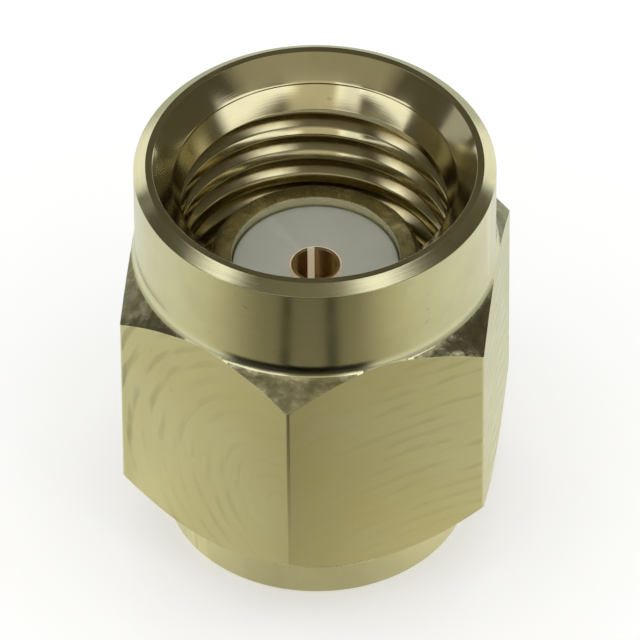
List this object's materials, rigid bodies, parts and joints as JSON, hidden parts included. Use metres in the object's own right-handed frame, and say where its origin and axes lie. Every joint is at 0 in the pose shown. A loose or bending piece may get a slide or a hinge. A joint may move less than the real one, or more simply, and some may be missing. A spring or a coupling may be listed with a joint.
{
  "type": "coaxial terminator",
  "caption": "Screw-on coaxial termination cap: a hexagonal threaded coupling nut that spins on a short turned body holding a white bead and a slotted socket contact.",
  "frame": {"origin": "centre of the closed rear face that the part stands on", "axes": "+Z along the connector's axis, out of the threaded mouth; +Y towards a corner of the hexagon; +X square to a pair of flats"},
  "size_m": [0.008, 0.0092, 0.0099],
  "materials": {
    "nut_plating": "pale gold plate, milled flats and polished collar",
    "body_plating": "yellow gold plate, turned",
    "fluoroplastic": "waxy white",
    "silicone": "matt dark red brown",
    "spring_bronze": "plain rolled",
    "coated_ceramic": "lacquered",
    "tinned_steel": "dull tin"
  },
  "bodies": {
    "load_body": {"terminator_body": "body_plating", "end_cap": "body_plating", "center_contact": "body_plating", "dielectric_bead": "fluoroplastic", "gasket": "silicone", "retaining_ring": "spring_bronze", "resistor_rod": "coated_ceramic", "resistor_front_cap": "tinned_steel", "resistor_rear_cap": "tinned_steel"},
    "nut": {"coupling_nut": "nut_plating"}
  },
  "joints": [
    {"name": "nut_spin", "type": "hinge", "parent": "load_body", "child": "nut", "pos_m": [0, 0, 0], "axis": [0, 0, 1], "continuous": true}
  ]
}
